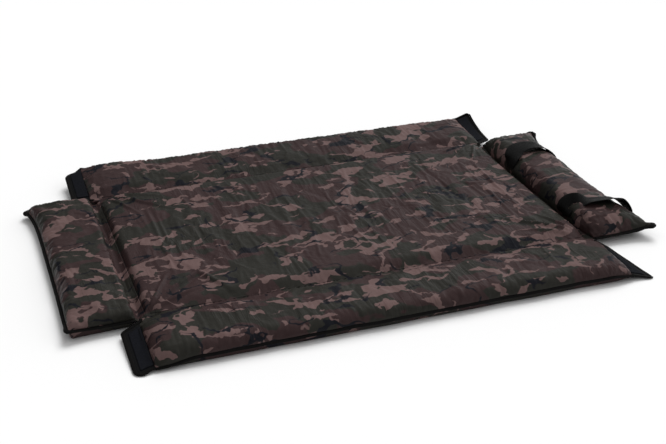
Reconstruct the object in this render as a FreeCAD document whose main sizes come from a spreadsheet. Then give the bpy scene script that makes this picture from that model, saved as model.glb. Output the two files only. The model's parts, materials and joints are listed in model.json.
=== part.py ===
import FreeCAD, Part
import os
import Sketcher

# Folding padded unhooking mat, laid out flat.
#
# A foam base lies on the ground. Two long foam walls fold up along its long edges, and two
# foam end pads fold up along its short edges. Each corner of a wall carries a fabric tab
# with a hook strip, which wraps round a raised end pad and holds on to its loop patch. Two
# webbing straps arch over the right end pad.
#
# Origin: centre of the base's underside. +X runs along the mat to the right end pad, +Y to
# the far wall, +Z up. All lengths are in millimetres, and every hinge line is a fold.

PARTS_FOLDER = "parts"
TINY = 1e-3
HALF_TURN = 180
QUARTER_TURN = 90

SIZES = [
    # base and walls
    ("base_length", 1070, "base cushion along X"),
    ("base_width", 604, "base cushion along Y"),
    ("panel_height", 40, "height of the base and of a wall lying flat"),
    ("panel_roll", 18, "roll of the upper and lower edges of base and walls"),
    ("panel_corner", 18.5, "plan radius at the corners of base and walls"),
    ("panel_seam", 20, "height of the seam between upper and lower cover"),
    ("wall_length", 1112, "wall cushion along X"),
    ("wall_inner", 308, "wall cushion's edge beside the fold"),
    ("wall_outer", 468, "wall cushion's free edge"),
    # folds
    ("wall_fold_y", 305, "fold between base and wall, from the mat's middle"),
    ("wall_fold_z", 30, "height of that fold"),
    ("end_fold_x", 537, "fold between base and end pad, from the mat's middle"),
    ("end_fold_z", 22, "height of that fold"),
    ("fold_play", 1.5, "from a fold line to the fabric sewn to it"),
    ("fold_reach", 11, "width of the strip in which the seam climbs to the fold"),
    ("thread_radius", 0.6, "radius of a row of fold stitching"),
    ("thread_inset", 6, "how far the stitching stops short of a fold's ends"),
    # covers and foam
    ("skin", 1, "thickness of a cover"),
    ("foam_play", 0.4, "gap between foam and cover"),
    ("sheet_overlap", 2, "two covers sewn together at a flange"),
    ("edge_flange", 9, "sewn flange outside a wall's or pad's seam"),
    ("wall_end_flange", 5, "sewn flange at a wall's short ends"),
    # edge binding
    ("binding_leaf", 0.6, "thickness of the folded tape"),
    ("binding_play", 0.1, "gap between tape and flange"),
    ("binding_root", 0.3, "gap between tape and cushion"),
    ("wall_binding_length", 1100, "binding along a wall's free edge"),
    # end pads
    ("pad_inner", 562, "end pad cushion's edge beside the fold strip"),
    ("pad_half_width", 288, "half of an end pad cushion along Y"),
    ("pad_floor", 1.5, "underside of an end pad above the ground"),
    ("pad_lower_roll", 19.5, "roll of an end pad's lower edge"),
    ("left_pad_outer", 706, "left pad cushion's free edge"),
    ("left_pad_top", 43, "top of the left pad"),
    ("left_pad_roll", 19, "roll of the left pad's upper edge"),
    ("left_pad_corner", 26, "plan radius at the left pad's corners"),
    ("right_pad_outer", 711, "right pad cushion's free edge"),
    ("right_pad_top", 56, "top of the right pad"),
    ("right_pad_roll", 32, "roll of the right pad's upper edge"),
    ("right_pad_corner", 33, "plan radius at the right pad's corners"),
    ("web_half_width", 278, "half of the sunken fold strip along Y"),
    ("web_into_pad", 12, "how far the fold strip runs into the pad"),
    # loop patches under the end pads
    ("patch_thickness", 1.5, "loop pile under an end pad"),
    ("patch_inner_y", 244, "inner edge of a patch"),
    ("patch_top", 18, "height to which a patch wraps up the pad's side"),
    ("patch_start", 604, "patch edge towards the fold"),
    ("patch_end", 686, "patch edge towards the free edge"),
    # corner tabs
    ("tab_fold_x", 562.5, "fold between wall and tab, from the mat's middle"),
    ("tab_fold_z", 20, "height of that fold"),
    ("tab_middle_y", 404.5, "middle of a tab, from the mat's middle"),
    ("tab_width", 138, "tab fabric along the wall's end"),
    ("tab_start", 564.3, "tab fabric's sewn edge"),
    ("tab_end", 605, "tab fabric's free edge"),
    ("tab_thickness", 1.2, "tab fabric"),
    ("tab_corner", 11, "plan radius of a tab's free corners"),
    ("tab_border", 5.6, "width of a tab's edging on each face"),
    ("hook_thickness", 1.3, "hook strip"),
    ("hook_play", 0.4, "gap round the hook strip"),
    # carry straps
    ("far_strap_y", 120, "middle of the far strap, from the mat's middle"),
    ("near_strap_y", 185, "middle of the near strap, from the mat's middle"),
    ("strap_width", 50, "webbing along Y"),
    ("strap_thickness", 1.5, "webbing"),
    ("strap_inner", 558.25, "strap's leg beside the fold"),
    ("strap_outer", 723, "strap's leg beyond the free edge"),
    ("strap_top", 68.5, "top of a strap's arch"),
    ("strap_bend", 14, "outer radius of a strap's bends"),
    ("strap_foot", 2.2, "start of a leg above the strap's swing line"),
    ("strap_foot_width", 4, "webbing gathered at its seam"),
    ("strap_taper", 12, "height over which the webbing spreads out"),
]

doc = FreeCAD.newDocument("unhooking_mat")
sheet = doc.addObject("Spreadsheet::Sheet", "Sizes")
nodes = {}


def fill_sheet():
    """Write every driving dimension to its own row, with an alias and a note."""
    for row, (alias, value, note) in enumerate(SIZES, start=1):
        sheet.set(f"A{row}", str(value))
        sheet.setAlias(f"A{row}", alias)
        sheet.set(f"B{row}", note)
    doc.recompute()


def size(formula):
    """The present value of a formula in the sheet's aliases."""
    return float(getattr(sheet.evalExpression(formula), "Value", sheet.evalExpression(formula)))


def cell(name):
    """A sheet alias as formulas spell it."""
    return f"Sizes.{name}"


def bind(thing, values):
    """Tie each property of an object to its formula."""
    for name, formula in values.items():
        thing.setExpression(name, formula)


def place(thing, middle, turn=0):
    """Turn an object about Z and tie its position to three formulas."""
    thing.Placement = FreeCAD.Placement(FreeCAD.Vector(), FreeCAD.Rotation(FreeCAD.Vector(0, 0, 1), turn))
    bind(thing, {f"Placement.Base.{axis}": formula for axis, formula in zip("xyz", middle)})


def keep(thing, node):
    """Name a finished sub-part and list it for export."""
    thing.Label = node
    nodes[node] = thing
    return thing


# Building blocks

def centred_rectangle(body, name, length, width):
    """A sketch on the body's XY plane with its middle on the body's origin."""
    sketch = body.newObject("Sketcher::SketchObject", name)
    plane = next(item for item in body.Origin.OriginFeatures if item.Role == "XY_Plane")
    sketch.AttachmentSupport = [(plane, "")]
    sketch.MapMode = "FlatFace"
    across = size(length) / 2
    deep = size(width) / 2
    corners = [FreeCAD.Vector(x, y, 0) for x, y in
               ((-across, -deep), (across, -deep), (across, deep), (-across, deep))]
    for start, end in zip(corners, corners[1:] + corners[:1]):
        sketch.addGeometry(Part.LineSegment(start, end))
    for side in range(4):
        sketch.addConstraint(Sketcher.Constraint("Coincident", side, 2, (side + 1) % 4, 1))
    for side in (0, 2):
        sketch.addConstraint(Sketcher.Constraint("Horizontal", side))
        sketch.addConstraint(Sketcher.Constraint("Vertical", side + 1))
    sketch.addConstraint(Sketcher.Constraint("Symmetric", 0, 1, 1, 2, -1, 1))
    for kind, side, formula in (("DistanceX", 0, length), ("DistanceY", 1, width)):
        index = sketch.addConstraint(Sketcher.Constraint(kind, side, 1, side, 2, size(formula)))
        sketch.renameConstraint(index, kind)
        sketch.setExpression(f"Constraints.{kind}", formula)
    return sketch


def standing(edge):
    """True for an edge that runs straight up."""
    box = edge.BoundBox
    return box.ZLength > TINY and box.XLength < TINY and box.YLength < TINY


def round_edges(body, name, wanted, radius):
    """Fillet the edges of the body's last feature that a test picks out."""
    doc.recompute()
    base = body.Tip
    edges = [f"Edge{number}" for number, edge in enumerate(base.Shape.Edges, start=1) if wanted(edge)]
    fillet = body.newObject("PartDesign::Fillet", name)
    fillet.Base = (base, edges)
    bind(fillet, {"Radius": radius})
    doc.recompute()


def slab(name, spans, corner=None, upper=None, lower=None, turn=0, only_outer=False):
    """A flat block between three pairs of formulas, with rounded corners and rolled edges."""
    lengths = [f"({high}) - ({low})" for low, high in spans]
    body = doc.addObject("PartDesign::Body", name)
    outline = centred_rectangle(body, f"{name}_outline", lengths[0], lengths[1])
    block = body.newObject("PartDesign::Pad", f"{name}_block")
    block.Profile = outline
    bind(block, {"Length": lengths[2]})
    doc.recompute()
    tall = block.Shape.BoundBox.ZMax
    if corner:
        round_edges(body, f"{name}_corners",
                    lambda edge: standing(edge) and (edge.BoundBox.XMax > 0 or not only_outer), corner)
    if upper:
        round_edges(body, f"{name}_upper", lambda edge: edge.BoundBox.ZMin > tall - TINY, upper)
    if lower:
        round_edges(body, f"{name}_lower", lambda edge: edge.BoundBox.ZMax < TINY, lower)
    sign = "-" if turn else ""
    middle = [f"{sign}(({low}) + ({high})) / 2" for low, high in spans[:2]]
    place(body, middle + [spans[2][0]], turn)
    return body


def box(name, spans):
    """A plain block between three pairs of formulas."""
    block = doc.addObject("Part::Box", name)
    lengths = [f"({high}) - ({low})" for low, high in spans]
    bind(block, dict(zip(("Length", "Width", "Height"), lengths)))
    place(block, [low for low, _ in spans])
    return block


def boolean(kind, name, base, tool):
    """Part::Cut or Part::Common of two objects."""
    result = doc.addObject(f"Part::{kind}", name)
    result.Base = base
    result.Tool = tool
    return result


def joined(name, pieces):
    """One solid out of several that touch or overlap."""
    result = doc.addObject("Part::MultiFuse", name)
    result.Shapes = pieces
    return result


def thread_row(node, middle, length, along):
    """A straight row of stitching that lies on a fold line."""
    row = doc.addObject("Part::Cylinder", node)
    bind(row, {"Radius": cell("thread_radius"), "Height": length})
    start = list(middle)
    axis = "xyz".index(along)
    start[axis] = f"({middle[axis]}) - ({length}) / 2"
    direction = FreeCAD.Vector(*(float(letter == along) for letter in "xyz"))
    row.Placement = FreeCAD.Placement(FreeCAD.Vector(),
                                      FreeCAD.Rotation(FreeCAD.Vector(0, 0, 1), direction))
    bind(row, {f"Placement.Base.{letter}": formula for letter, formula in zip("xyz", start)})
    keep(row, node)


def grown(spans, amount):
    """The same spans with every face moved outwards by a formula, or inwards if negative."""
    return [(f"({low}) - ({amount})", f"({high}) + ({amount})") for low, high in spans]


def cushion_shell(name, spans, corner, upper, lower):
    """The solid outside of a cushion, and its cover before it is split at the seam."""
    radii = (corner, upper, lower)
    outside = slab(f"{name}_outside", spans, *radii)
    inside = slab(f"{name}_inside", grown(spans, f"-{cell('skin')}"),
                  *(f"({radius}) - {cell('skin')}" for radius in radii))
    return outside, boolean("Cut", f"{name}_shell", outside, inside)


def cushion_foam(node, spans, corner, upper, lower):
    """The foam slab sealed inside a cover."""
    inset = f"{cell('skin')} + {cell('foam_play')}"
    radii = (f"({radius}) - ({inset})" for radius in (corner, upper, lower))
    keep(slab(node, grown(spans, f"-({inset})"), *radii), node)


def split_covers(node, cover, lower_space, turn=0):
    """Upper and lower cover of one cushion, divided along its seam."""
    for kind, half in (("Cut", "top_cover"), ("Common", "bottom_cover")):
        piece = boolean(kind, f"{node}_{half}", cover, lower_space)
        place(piece, ("0", "0", "0"), turn)
        keep(piece, f"{node}_{half}")


def flange_height(seam):
    """The two sheets of a sewn flange, one above and one below the seam."""
    half = f"{cell('sheet_overlap')} / 2"
    return f"{seam} - {half}", f"{seam} + {half}"


# Base

def base():
    """The foam base, its covers, and the stitching of its four folds."""
    half_length = f"{cell('base_length')} / 2"
    half_width = f"{cell('base_width')} / 2"
    spans = [(f"-{half_length}", half_length), (f"-{half_width}", half_width), ("0", cell("panel_height"))]
    radii = (cell("panel_corner"), cell("panel_roll"), cell("panel_roll"))
    outside, shell = cushion_shell("base", spans, *radii)
    flange_reach = f"{cell('wall_fold_y')} - {cell('fold_play')}"
    flange_end = f"{half_length} - {cell('panel_corner')}"
    blank = box("base_flange_blank", [(f"-({flange_end})", flange_end),
                                      (f"-({flange_reach})", flange_reach),
                                      flange_height(cell("wall_fold_z"))])
    flange = boolean("Cut", "base_flange", blank, outside)
    cover = joined("base_cover", [shell, flange])
    climb = f"{cell('wall_fold_y')} - {cell('fold_reach')}"
    beyond = f"{cell('wall_fold_y')} + {cell('fold_reach')}"
    length = (f"-{cell('base_length')}", cell("base_length"))
    below = [box("base_below_seam", [length, (f"-({beyond})", beyond), ("-1", cell("panel_seam"))])]
    for side, edge in (("near", (f"-({beyond})", f"-({climb})")), ("far", (climb, beyond))):
        below.append(box(f"base_below_{side}_fold", [length, edge, ("-1", cell("wall_fold_z"))]))
    split_covers("base", cover, joined("base_lower_space", below))
    cushion_foam("base_foam", spans, *radii)
    for side, sign in (("near", "-"), ("far", "")):
        thread_row(f"{side}_fold_stitching", ("0", f"{sign}{cell('wall_fold_y')}", cell("wall_fold_z")),
                   f"{cell('base_length')} - 2 * {cell('thread_inset')}", "x")
    for side, sign in (("left", "-"), ("right", "")):
        thread_row(f"{side}_fold_stitching", (f"{sign}{cell('end_fold_x')}", "0", cell("end_fold_z")),
                   f"2 * {cell('web_half_width')} - 2 * {cell('thread_inset')}", "y")


# Long walls

def walls():
    """Both walls: one set of blanks, used as it stands for the far wall and turned for the near."""
    half_length = f"{cell('wall_length')} / 2"
    spans = [(f"-{half_length}", half_length), (cell("wall_inner"), cell("wall_outer")),
             ("0", cell("panel_height"))]
    radii = (cell("panel_corner"), cell("panel_roll"), cell("panel_roll"))
    outside, shell = cushion_shell("wall", spans, *radii)
    reach = f"{half_length} + {cell('wall_end_flange')}"
    inside_edge = f"{cell('wall_inner')} + {cell('panel_corner')}"
    outer_flange = slab("wall_edge_blank",
                        [(f"-({reach})", reach),
                         (inside_edge, f"{cell('wall_outer')} + {cell('edge_flange')}"),
                         flange_height(cell("panel_seam"))], cell("wall_end_flange"))
    fold_end = f"{half_length} - {cell('panel_corner')}"
    fold_flange = box("wall_fold_blank",
                      [(f"-({fold_end})", fold_end),
                       (f"{cell('wall_fold_y')} + {cell('fold_play')}", inside_edge),
                       flange_height(cell("wall_fold_z"))])
    flange = boolean("Cut", "wall_flange", joined("wall_flange_blank", [outer_flange, fold_flange]), outside)
    cover = joined("wall_cover", [shell, flange])
    length = (f"-{cell('wall_length')}", cell("wall_length"))
    below = [box("wall_below_seam", [length, (cell("wall_fold_y"), f"2 * {cell('wall_outer')}"),
                                     ("-1", cell("panel_seam"))]),
             box("wall_below_fold", [length, (cell("wall_fold_y"),
                                              f"{cell('wall_fold_y')} + {cell('fold_reach')}"),
                                     ("-1", cell("wall_fold_z"))])]
    lower_space = joined("wall_lower_space", below)
    for side, turn in (("far", 0), ("near", HALF_TURN)):
        split_covers(f"{side}_wall", cover, lower_space, turn)
        wall_binding(f"{side}_wall_binding", turn)
    cushion_foam("far_wall_foam", spans, *radii)
    near_spans = [spans[0], (f"-{cell('wall_outer')}", f"-{cell('wall_inner')}"), spans[2]]
    cushion_foam("near_wall_foam", near_spans, *radii)


def wall_binding(node, turn):
    """Tape folded over the flange along a wall's free edge: a long C section."""
    half_length = f"{cell('wall_binding_length')} / 2"
    length = (f"-{half_length}", half_length)
    tip = f"{cell('wall_outer')} + {cell('edge_flange')} + {cell('binding_play')}"
    low, high = flange_height(cell("panel_seam"))
    slot = [(f"-{cell('wall_length')}", cell("wall_length")), (cell("wall_outer"), tip),
            (f"{low} - {cell('binding_play')}", f"{high} + {cell('binding_play')}")]
    outer = [length, (f"{cell('wall_outer')} + {cell('binding_root')}", f"{tip} + {cell('binding_leaf')}"),
             (f"{slot[2][0]} - {cell('binding_leaf')}", f"{slot[2][1]} + {cell('binding_leaf')}")]
    tape = boolean("Cut", node, box(f"{node}_tape", outer), box(f"{node}_slot", slot))
    place(tape, ("0", "0", "0"), turn)
    keep(tape, node)


# End pads

def end_pad(side, turn):
    """One end pad, built at the right and turned to the left where that is its side."""
    node = f"{side}_pad"
    outer = cell(f"{node}_outer")
    corner = cell(f"{node}_corner")
    half_width = cell("pad_half_width")
    spans = [(cell("pad_inner"), outer), (f"-{half_width}", half_width), (cell("pad_floor"), cell(f"{node}_top"))]
    radii = (corner, cell(f"{node}_roll"), cell("pad_lower_roll"))
    outside, shell = cushion_shell(node, spans, *radii)
    seam = cell("end_fold_z")
    rim_corner = f"{corner} + {cell('edge_flange')}"
    rim = grown(spans[:2], cell("edge_flange")) + [flange_height(seam)]
    web_half = cell("web_half_width")
    web = box(f"{node}_web_blank", [(f"{cell('end_fold_x')} + {cell('fold_play')}",
                                     f"{cell('pad_inner')} + {cell('web_into_pad')}"),
                                    (f"-{web_half}", web_half), flange_height(seam)])
    blank = joined(f"{node}_flange_blank", [slab(f"{node}_rim_blank", rim, rim_corner), web])
    cover = joined(f"{node}_cover", [shell, boolean("Cut", f"{node}_flange", blank, outside)])
    space = box(f"{node}_lower_space", [("0", f"2 * {outer}"), (f"-2 * {half_width}", f"2 * {half_width}"),
                                        ("-1", seam)])
    split_covers(node, cover, space, turn)
    foam_spans = spans
    if turn:
        foam_spans = [(f"-({high})", f"-({low})") for low, high in spans[:1]] + spans[1:]
    cushion_foam(f"{node}_foam", foam_spans, *radii)
    pad_binding(node, rim, rim_corner, spans, turn)
    loop_patches(node, outside, spans, radii, turn)


def pad_binding(node, rim, rim_corner, spans, turn):
    """Tape folded over the flange round the three free edges of an end pad."""
    slot = slab(f"{node}_binding_slot", grown(rim, cell("binding_play")),
                f"{rim_corner} + {cell('binding_play')}")
    thickness = f"{cell('binding_play')} + {cell('binding_leaf')}"
    tape = slab(f"{node}_binding_tape", grown(rim, thickness), f"{rim_corner} + {thickness}")
    middle = slab(f"{node}_binding_middle", grown(spans[:2], cell("binding_root")) + [("0", cell("panel_height"))],
                  f"{cell(f'{node}_corner')} + {cell('binding_root')}")
    fold_side = box(f"{node}_binding_end", [("0", spans[0][0]), (f"-2 * {cell('pad_half_width')}",
                                                                f"2 * {cell('pad_half_width')}"),
                                            ("0", cell("panel_height"))])
    removed = joined(f"{node}_binding_removed", [slot, middle, fold_side])
    piece = boolean("Cut", f"{node}_binding", tape, removed)
    place(piece, ("0", "0", "0"), turn)
    keep(piece, f"{node}_binding")


def loop_patches(node, outside, spans, radii, turn):
    """Two strips of loop pile that wrap the lower side edges of an end pad."""
    thick = cell("patch_thickness")
    swollen = slab(f"{node}_patch_outside", grown(spans, thick), *(f"({radius}) + {thick}" for radius in radii))
    layer = boolean("Cut", f"{node}_patch_layer", swollen, outside)
    zones = []
    reach = f"2 * {cell('pad_half_width')}"
    for side, edge in (("near", (f"-{reach}", f"-{cell('patch_inner_y')}")),
                       ("far", (cell("patch_inner_y"), reach))):
        zones.append(box(f"{node}_{side}_patch_zone",
                         [(cell("patch_start"), cell("patch_end")), edge, ("-1", cell("patch_top"))]))
    patches = boolean("Common", f"{node}_loop_patches", layer, joined(f"{node}_patch_zones", zones))
    place(patches, ("0", "0", "0"), turn)
    keep(patches, f"{node}_loop_patches")


# Corner tabs

def corner_tab(name, turn, far):
    """Tab fabric, hook strip, edging and fold stitching at one corner of a wall."""
    along = cell("tab_middle_y") if far else f"-{cell('tab_middle_y')}"
    half = f"{cell('tab_width')} / 2"
    middle = f"-({along})" if turn else along
    level = cell("tab_fold_z")
    sheet_half = f"{cell('tab_thickness')} / 2"
    fabric = [(cell("tab_start"), cell("tab_end")), (f"{middle} - {half}", f"{middle} + {half}"),
              (f"{level} - {sheet_half}", f"{level} + {sheet_half}")]
    corner = cell("tab_corner")
    keep(slab(f"{name}_fabric", fabric, corner, turn=turn, only_outer=True), f"{name}_fabric")

    play = cell("binding_play")
    outside = f"{play} + {cell('binding_leaf')}"
    tape_spans = [(cell("tab_start"), f"{cell('tab_end')} + {outside}")] + grown(fabric[1:], outside)
    tape = slab(f"{name}_edging_tape", tape_spans, f"{corner} + {outside}", turn=turn, only_outer=True)
    slot_spans = [(cell("wall_length") + " / 2", f"{cell('tab_end')} + {play}")] + grown(fabric[1:], play)
    slot = slab(f"{name}_edging_slot", slot_spans, f"{corner} + {play}", turn=turn, only_outer=True)
    border = cell("tab_border")
    window_spans = [(cell("wall_length") + " / 2", f"{cell('tab_end')} - {border}"),
                    (f"{middle} - {half} + {border}", f"{middle} + {half} - {border}"),
                    ("0", cell("panel_height"))]
    window = slab(f"{name}_edging_window", window_spans, f"{corner} - {border}", turn=turn, only_outer=True)
    edging = boolean("Cut", f"{name}_edging", tape, joined(f"{name}_edging_removed", [slot, window]))
    keep(edging, f"{name}_edging")

    gap = cell("hook_play")
    top = fabric[2][1]
    hook = [(f"{cell('tab_start')} + {gap}", f"{window_spans[0][1]} - {gap}"),
            (f"{window_spans[1][0]} + {gap}", f"{window_spans[1][1]} - {gap}"),
            (top, f"{top} + {cell('hook_thickness')}")]
    keep(slab(f"{name}_hook_strip", hook, f"{corner} - {border} - {gap}", turn=turn, only_outer=True),
         f"{name}_hook_strip")
    sign = "-" if turn else ""
    thread_row(f"{name}_stitching", (f"{sign}{cell('tab_fold_x')}", along, level),
               f"{cell('tab_width')} - 2 * {cell('thread_inset')}", "y")


# Carry straps

def strap(node, middle):
    """A webbing handle that arches over the right end pad from its fold to its free edge."""
    half = f"{cell('strap_width')} / 2"
    thick = cell("strap_thickness")
    floor = cell("end_fold_z")
    foot = f"{floor} + {cell('strap_foot')}"
    across = (f"{middle} - {half}", f"{middle} + {half}")
    outer = bent_block(f"{node}_outer", [(cell("strap_inner"), cell("strap_outer")), across,
                                         (foot, cell("strap_top"))], cell("strap_bend"))
    beyond = (f"{middle} - 2 * {half}", f"{middle} + 2 * {half}")
    inner = bent_block(f"{node}_inner", [(f"{cell('strap_inner')} + {thick}", f"{cell('strap_outer')} - {thick}"),
                                         beyond, ("0", f"{cell('strap_top')} - {thick}")],
                       f"{cell('strap_bend')} - {thick}")
    arch = boolean("Cut", f"{node}_arch", outer, inner)
    spread = f"{foot} + {cell('strap_taper')}"
    full = box(f"{node}_full_width", [(cell("pad_inner") + " / 2", f"2 * {cell('pad_inner')}"), across,
                                      (spread, f"2 * {cell('strap_top')}")])
    envelope = joined(f"{node}_envelope", [strap_feet(f"{node}_feet", middle, foot), full])
    keep(boolean("Common", node, arch, envelope), node)


def bent_block(name, spans, radius):
    """A block whose two upper edges across X are rounded, for the bends of a strap."""
    body = slab(name, spans)
    top = body.Tip.Shape.BoundBox.ZMax

    def bend(edge):
        return edge.BoundBox.ZMin > top - TINY and edge.BoundBox.XLength < TINY

    round_edges(body, f"{name}_bends", bend, radius)
    return body


def strap_feet(name, middle, foot):
    """The space that the legs' gathered ends fill, narrow below and full width above."""
    wedge = doc.addObject("Part::Wedge", name)
    full = f"{cell('strap_width')} / 2"
    narrow = f"{cell('strap_foot_width')} / 2"
    bind(wedge, {"Xmin": cell("strap_inner") + " / 2", "Xmax": f"2 * {cell('strap_outer')}",
                 "X2min": cell("strap_inner") + " / 2", "X2max": f"2 * {cell('strap_outer')}",
                 "Ymin": "0", "Ymax": cell("strap_taper"),
                 "Zmin": f"-{narrow}", "Zmax": narrow, "Z2min": f"-{full}", "Z2max": full})
    upright = FreeCAD.Rotation(FreeCAD.Vector(1, 0, 0), QUARTER_TURN)
    wedge.Placement = FreeCAD.Placement(FreeCAD.Vector(), upright)
    bind(wedge, {"Placement.Base.x": "0", "Placement.Base.y": middle, "Placement.Base.z": foot})
    return wedge


# Whole mat

def check_document():
    """Stop if any object failed, or any sub-part is not a sound solid."""
    doc.recompute()
    for thing in doc.Objects:
        if {"Invalid", "Error"} & set(thing.State):
            raise RuntimeError(f"{thing.Name} failed: {thing.State}")
    for node, thing in nodes.items():
        shape = thing.Shape
        if shape.isNull() or not shape.isValid() or not shape.Solids:
            raise RuntimeError(f"{node} is not a sound solid")


def export():
    """Write one STEP file per sub-part."""
    os.makedirs(PARTS_FOLDER, exist_ok=True)
    for node, thing in nodes.items():
        thing.Shape.exportStep(os.path.join(PARTS_FOLDER, f"{node}.step"))
        extent = thing.Shape.BoundBox
        print(f"{node:28s} solids {len(thing.Shape.Solids)} volume {thing.Shape.Volume:12.1f}"
              f"  x {extent.XMin:8.2f} {extent.XMax:8.2f}  y {extent.YMin:8.2f} {extent.YMax:8.2f}"
              f"  z {extent.ZMin:6.2f} {extent.ZMax:6.2f}")


fill_sheet()
base()
walls()
end_pad("right", 0)
end_pad("left", HALF_TURN)
for tab_name, tab_turn, tab_is_far in (("far_right_tab", 0, True), ("near_right_tab", 0, False),
                                       ("far_left_tab", HALF_TURN, True), ("near_left_tab", HALF_TURN, False)):
    corner_tab(tab_name, tab_turn, tab_is_far)
strap("far_carry_strap", cell("far_strap_y"))
strap("near_carry_strap", f"-{cell('near_strap_y')}")
check_document()
export()
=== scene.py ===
import json
import math

import bpy
import numpy as np
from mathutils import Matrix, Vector


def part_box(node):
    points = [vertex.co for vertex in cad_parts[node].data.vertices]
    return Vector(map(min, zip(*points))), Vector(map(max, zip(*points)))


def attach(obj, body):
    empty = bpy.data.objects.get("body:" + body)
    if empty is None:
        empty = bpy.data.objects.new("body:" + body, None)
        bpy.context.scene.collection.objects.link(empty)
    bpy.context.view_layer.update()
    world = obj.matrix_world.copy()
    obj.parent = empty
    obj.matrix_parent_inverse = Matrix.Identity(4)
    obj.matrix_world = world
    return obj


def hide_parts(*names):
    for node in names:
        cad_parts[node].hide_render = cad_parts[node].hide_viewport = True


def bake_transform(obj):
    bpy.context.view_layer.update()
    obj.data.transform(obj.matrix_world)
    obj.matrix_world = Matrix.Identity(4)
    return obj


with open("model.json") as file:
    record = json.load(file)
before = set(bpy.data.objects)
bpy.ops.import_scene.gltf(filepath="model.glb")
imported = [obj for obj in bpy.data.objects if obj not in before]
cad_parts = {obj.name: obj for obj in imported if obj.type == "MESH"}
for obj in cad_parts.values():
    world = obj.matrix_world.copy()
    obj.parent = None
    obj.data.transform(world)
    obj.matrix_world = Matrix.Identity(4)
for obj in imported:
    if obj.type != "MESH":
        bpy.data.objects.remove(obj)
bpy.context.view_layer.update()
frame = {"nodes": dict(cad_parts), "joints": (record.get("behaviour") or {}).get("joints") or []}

# A folding padded unhooking mat, laid out flat. All lengths are in metres, in the CAD frame:
# +X runs along the mat to the pad with the straps, +Y to the far wall, +Z up.

MM = 0.001

# Lines and levels that the CAD model sets

hinge = {joint["name"]: Vector(joint["pos_m"]) for joint in frame["joints"]}
FOLD_Y = hinge["far_wall_fold"].y
FOLD_Z = hinge["far_wall_fold"].z
END_X = hinge["right_end_fold"].x
END_Z = hinge["right_end_fold"].z
PANEL_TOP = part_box("base_top_cover")[1].z
SEAM_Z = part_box("far_wall_top_cover")[0].z
WALL_END_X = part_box("far_wall_foam")[1].x + 2 * MM
WALL_EDGE_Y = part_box("far_wall_binding")[1].y + 5 * MM
TAB_LOW_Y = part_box("far_right_tab_fabric")[0].y
PAD_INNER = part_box("right_pad_foam")[0].x - 2 * MM
PAD_HALF_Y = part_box("right_pad_binding")[1].y + 9 * MM
PAD_EDGE = {"left": -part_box("left_pad_foam")[0].x + 3 * MM,
            "right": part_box("right_pad_foam")[1].x + 3 * MM}
PAD_TOP = {"left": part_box("left_pad_top_cover")[1].z, "right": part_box("right_pad_top_cover")[1].z}

# Camera, fitted to the corners that the photograph shows. The angles are in degrees.
CAMERA = {"azimuth": -19.67, "elevation": 26.86, "distance": 2.963, "target": (0.0066, 0.0275, 0.0), "lens": 63.2}

# The floor's half length and shade, and the light: direction, strength and width in degrees
FLOOR_HALF = 30.0
FLOOR_SHADE = 0.92
KEY_LIGHT = {"direction": (0.55, 0.75, 1.00), "strength": 2.30, "spread": 38.0}

# The sky is a glow at one side, which fades out overhead, plus a light that grows from the horizon upwards.
# Each line gives an axis, where along it the change starts and ends, and the strengths there.
SKY_SIDE = ("X", 0.02, 0.82, 0.0, 0.80)
SKY_SIDE_FADE = ("Z", 0.50, 0.85, 1.0, 0.0)
SKY_OVERHEAD = ("Z", 0.30, 0.80, 0.12, 0.58)

# First seed of each piece's folds
SEED = {"base": 10, "far_wall": 30, "near_wall": 60, "right_pad": 100, "left_pad": 130, "fold_strip": 160,
        "pad_tape": 170, "tab": 200}

# Mesh pitch in x and y, and the places of the closer rows beside a seam
BASE_PITCH = (3.4 * MM, 4.5 * MM)
WALL_PITCH = (3.8 * MM, 4.5 * MM)
PAD_PITCH = (4 * MM, 4 * MM)
EDGE_STEPS = np.array([0, 0.7, 1.8, 3.4, 5.6, 8.4, 12, 16, 20.5]) * MM

# Cloth: how much larger it is cut than its shape, how firmly the foam holds it, the foam's pressure and the
# furthest that a point may move
SETTLE_FRAMES = 15
BASE_CLOTH = {"slack": 0.018, "hold": 0.05, "push": 0.0, "cap": 3.5 * MM}
WALL_CLOTH = {"slack": 0.018, "hold": 0.04, "push": 0.0, "cap": 4 * MM}
PAD_CLOTH = {"slack": 0.035, "hold": 0.02, "push": 0.3, "cap": 6 * MM}
FABRIC = {"quality": 5, "mass": 0.2, "tension_stiffness": 20, "compression_stiffness": 20, "shear_stiffness": 8,
          "bending_stiffness": 0.05}


# Camera, floor and light

def camera():
    """A camera at the photograph's viewing angle."""
    azimuth, elevation = math.radians(CAMERA["azimuth"]), math.radians(CAMERA["elevation"])
    back = Vector((math.sin(azimuth) * math.cos(elevation),
                   -math.cos(azimuth) * math.cos(elevation), math.sin(elevation)))
    data = bpy.data.cameras.new("camera")
    data.lens = CAMERA["lens"]
    thing = bpy.data.objects.new("camera", data)
    thing.location = Vector(CAMERA["target"]) + CAMERA["distance"] * back
    thing.rotation_euler = (-back).to_track_quat("-Z", "Y").to_euler()
    bpy.context.scene.collection.objects.link(thing)
    bpy.context.scene.camera = thing


def sun(name, direction, strength, spread):
    """A wide, soft light. It leaves no reflection, so that folds which face the camera don't glaze."""
    data = bpy.data.lights.new(name, "SUN")
    data.energy = strength
    data.angle = math.radians(spread)
    thing = bpy.data.objects.new(name, data)
    thing.rotation_euler = Vector(direction).to_track_quat("Z", "Y").to_euler()
    thing.visible_glossy = False
    bpy.context.scene.collection.objects.link(thing)


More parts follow.
